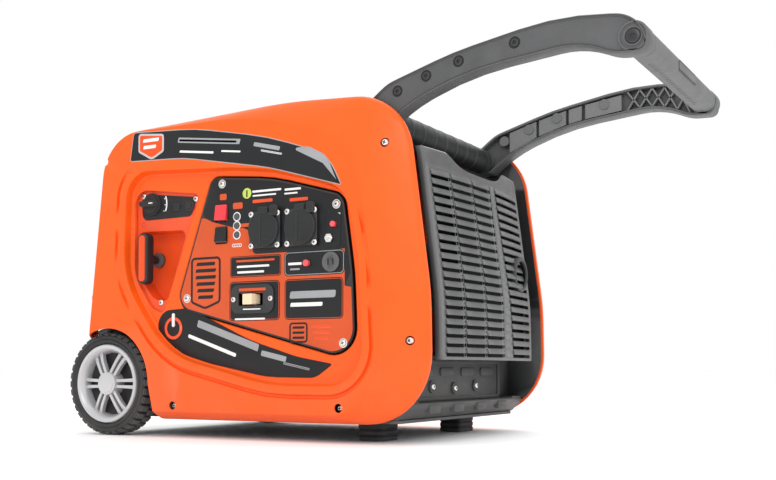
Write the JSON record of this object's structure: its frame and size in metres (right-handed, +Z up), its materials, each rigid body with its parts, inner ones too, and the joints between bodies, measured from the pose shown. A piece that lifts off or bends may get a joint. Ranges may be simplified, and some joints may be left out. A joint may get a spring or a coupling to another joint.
{
  "type": "inverter generator",
  "caption": "Wheeled suitcase inverter generator with fold-down tow handle, recoil starter, lidded outlets and a louvred exhaust end.",
  "frame": {"origin": "middle of the whole machine with the handle folded out, on the floor", "axes": "+X along the machine towards the tow handle and exhaust end, +Y away from the control side, +Z up"},
  "size_m": [0.905, 0.456, 0.5333],
  "materials": {
    "orange_shell": "satin moulded",
    "black_plastic": "fine grained",
    "grey_plastic": "fine grained",
    "handle_grey": "fine grained",
    "grip_grey": "soft touch",
    "panel_face": "printed film",
    "tyre_rubber": "matte",
    "foot_rubber": "matte",
    "silver_rim": "silver paint",
    "zinc": "bright zinc",
    "black_screw": "black oxide",
    "red_button": "gloss",
    "beige_lever": "satin",
    "lamp_lens": "translucent",
    "cast_metal": "cast",
    "rotor_steel": "machined",
    "hot_steel": "heat resistant",
    "tank_steel": "satin",
    "rope_cord": "braided"
  },
  "bodies": {
    "chassis": {"front_shell": "orange_shell", "rear_shell": "orange_shell", "shell_screws": "zinc", "top_cover": "black_plastic", "intake_end_panel": "black_plastic", "exhaust_end_panel": "grey_plastic", "exhaust_outlet": "zinc", "handle_channel_front": "black_plastic", "handle_channel_rear": "black_plastic", "base_tray": "black_plastic", "lower_bumper": "black_plastic", "feet": "foot_rubber", "axle": "zinc", "control_panel": "panel_face", "panel_screws": "zinc", "ac_outlet_left": "black_plastic", "ac_outlet_right": "black_plastic", "dc_outlet": "black_plastic", "status_lamps": "lamp_lens", "ac_breaker": "black_plastic", "earth_terminal": "zinc", "recoil_bezel": "orange_shell", "rope_guide": "black_plastic", "crankcase": "cast_metal", "cylinder_barrel": "cast_metal", "cylinder_head": "cast_metal", "stator": "rotor_steel", "recoil_housing": "black_plastic", "fuel_tank": "tank_steel", "air_filter_box": "black_plastic", "carburettor": "cast_metal", "muffler": "hot_steel", "spark_plug": "zinc", "inverter_module": "cast_metal", "starting_battery": "black_plastic", "engine_mounts": "foot_rubber"},
    "tow_handle": {"handle_arm_front": "handle_grey", "handle_arm_rear": "handle_grey", "handle_grip": "grip_grey", "handle_cross_tube": "handle_grey", "handle_screws": "black_screw"},
    "wheel_front": {"tyre_front": "tyre_rubber", "rim_front": "silver_rim"},
    "wheel_rear": {"tyre_rear": "tyre_rubber", "rim_rear": "silver_rim"},
    "pull_grip": {"recoil_grip": "black_plastic", "recoil_rope": "rope_cord"},
    "starter_pulley": {"recoil_pulley": "black_plastic"},
    "engine_rotor": {"crankshaft": "zinc", "fan_rotor": "rotor_steel"},
    "knob": {"mode_knob": "black_plastic"},
    "start_switch": {"start_rocker": "red_button"},
    "eco_switch": {"eco_rocker": "black_plastic"},
    "lid_left": {"outlet_lid_left": "black_plastic"},
    "lid_right": {"outlet_lid_right": "black_plastic"},
    "reset": {"reset_button": "red_button"},
    "dc_trip": {"dc_breaker_button": "red_button"},
    "breaker_toggle": {"breaker_lever": "beige_lever"},
    "filler_cap": {"fuel_cap": "black_plastic"},
    "access_door": {"service_door": "orange_shell"}
  },
  "joints": [
    {"name": "tow_handle_fold", "type": "hinge", "parent": "chassis", "child": "tow_handle", "pos_m": [0.0725, 0, 0.44], "axis": [0, 1, 0], "range_deg": [0, 90]},
    {"name": "wheel_front_spin", "type": "hinge", "parent": "chassis", "child": "wheel_front", "pos_m": [-0.3745, -0.203, 0.078], "axis": [0, 1, 0], "continuous": true},
    {"name": "wheel_rear_spin", "type": "hinge", "parent": "chassis", "child": "wheel_rear", "pos_m": [-0.3745, 0.203, 0.078], "axis": [0, 1, 0], "continuous": true},
    {"name": "recoil_pull", "type": "slide", "parent": "chassis", "child": "pull_grip", "axis": [0, -1, 0], "range_m": [0, 0.6], "stiffness_N_per_m": 8},
    {"name": "pulley_turn", "type": "hinge", "parent": "chassis", "child": "starter_pulley", "pos_m": [-0.3035, 0, 0.215], "axis": [1, 0, 0], "range_deg": [0, 690]},
    {"name": "engine_spin", "type": "hinge", "parent": "chassis", "child": "engine_rotor", "pos_m": [-0.2335, 0, 0.215], "axis": [1, 0, 0], "continuous": true},
    {"name": "mode_knob_turn", "type": "hinge", "parent": "chassis", "child": "knob", "pos_m": [-0.2985, -0.207, 0.347], "axis": [0, -1, 0], "range_deg": [0, 90]},
    {"name": "start_rocker_tilt", "type": "hinge", "parent": "chassis", "child": "start_switch", "pos_m": [-0.1625, -0.2135, 0.324], "axis": [1, 0, 0], "range_deg": [0, 16]},
    {"name": "eco_rocker_tilt", "type": "hinge", "parent": "chassis", "child": "eco_switch", "pos_m": [-0.1625, -0.2135, 0.292], "axis": [1, 0, 0], "range_deg": [0, 16]},
    {"name": "lid_left_lift", "type": "hinge", "parent": "chassis", "child": "lid_left", "pos_m": [-0.0845, -0.224, 0.324], "axis": [-1, 0, 0], "range_deg": [0, 110], "stiffness_Nm_per_rad": 0.004},
    {"name": "lid_right_lift", "type": "hinge", "parent": "chassis", "child": "lid_right", "pos_m": [-0.0235, -0.224, 0.324], "axis": [-1, 0, 0], "range_deg": [0, 110], "stiffness_Nm_per_rad": 0.004},
    {"name": "reset_press", "type": "slide", "parent": "chassis", "child": "reset", "axis": [0, 1, 0], "range_m": [0, 0.0025], "stiffness_N_per_m": 300},
    {"name": "dc_breaker_press", "type": "slide", "parent": "chassis", "child": "dc_trip", "axis": [0, 1, 0], "range_m": [0, 0.003], "stiffness_N_per_m": 300},
    {"name": "breaker_lever_throw", "type": "hinge", "parent": "chassis", "child": "breaker_toggle", "pos_m": [-0.1085, -0.2075, 0.1985], "axis": [0, 0, 1], "range_deg": [0, 28]},
    {"name": "fuel_cap_turn", "type": "hinge", "parent": "chassis", "child": "filler_cap", "pos_m": [-0.2035, 0, 0.4595], "axis": [0, 0, 1], "range_deg": [0, 90]},
    {"name": "service_door_swing", "type": "hinge", "parent": "chassis", "child": "access_door", "pos_m": [-0.283, 0.226, 0.232], "axis": [0, 0, 1], "range_deg": [0, 95]}
  ],
  "couplings": [
    {"joint": "pulley_turn", "follows": "recoil_pull", "rad_per_m": 20}
  ]
}
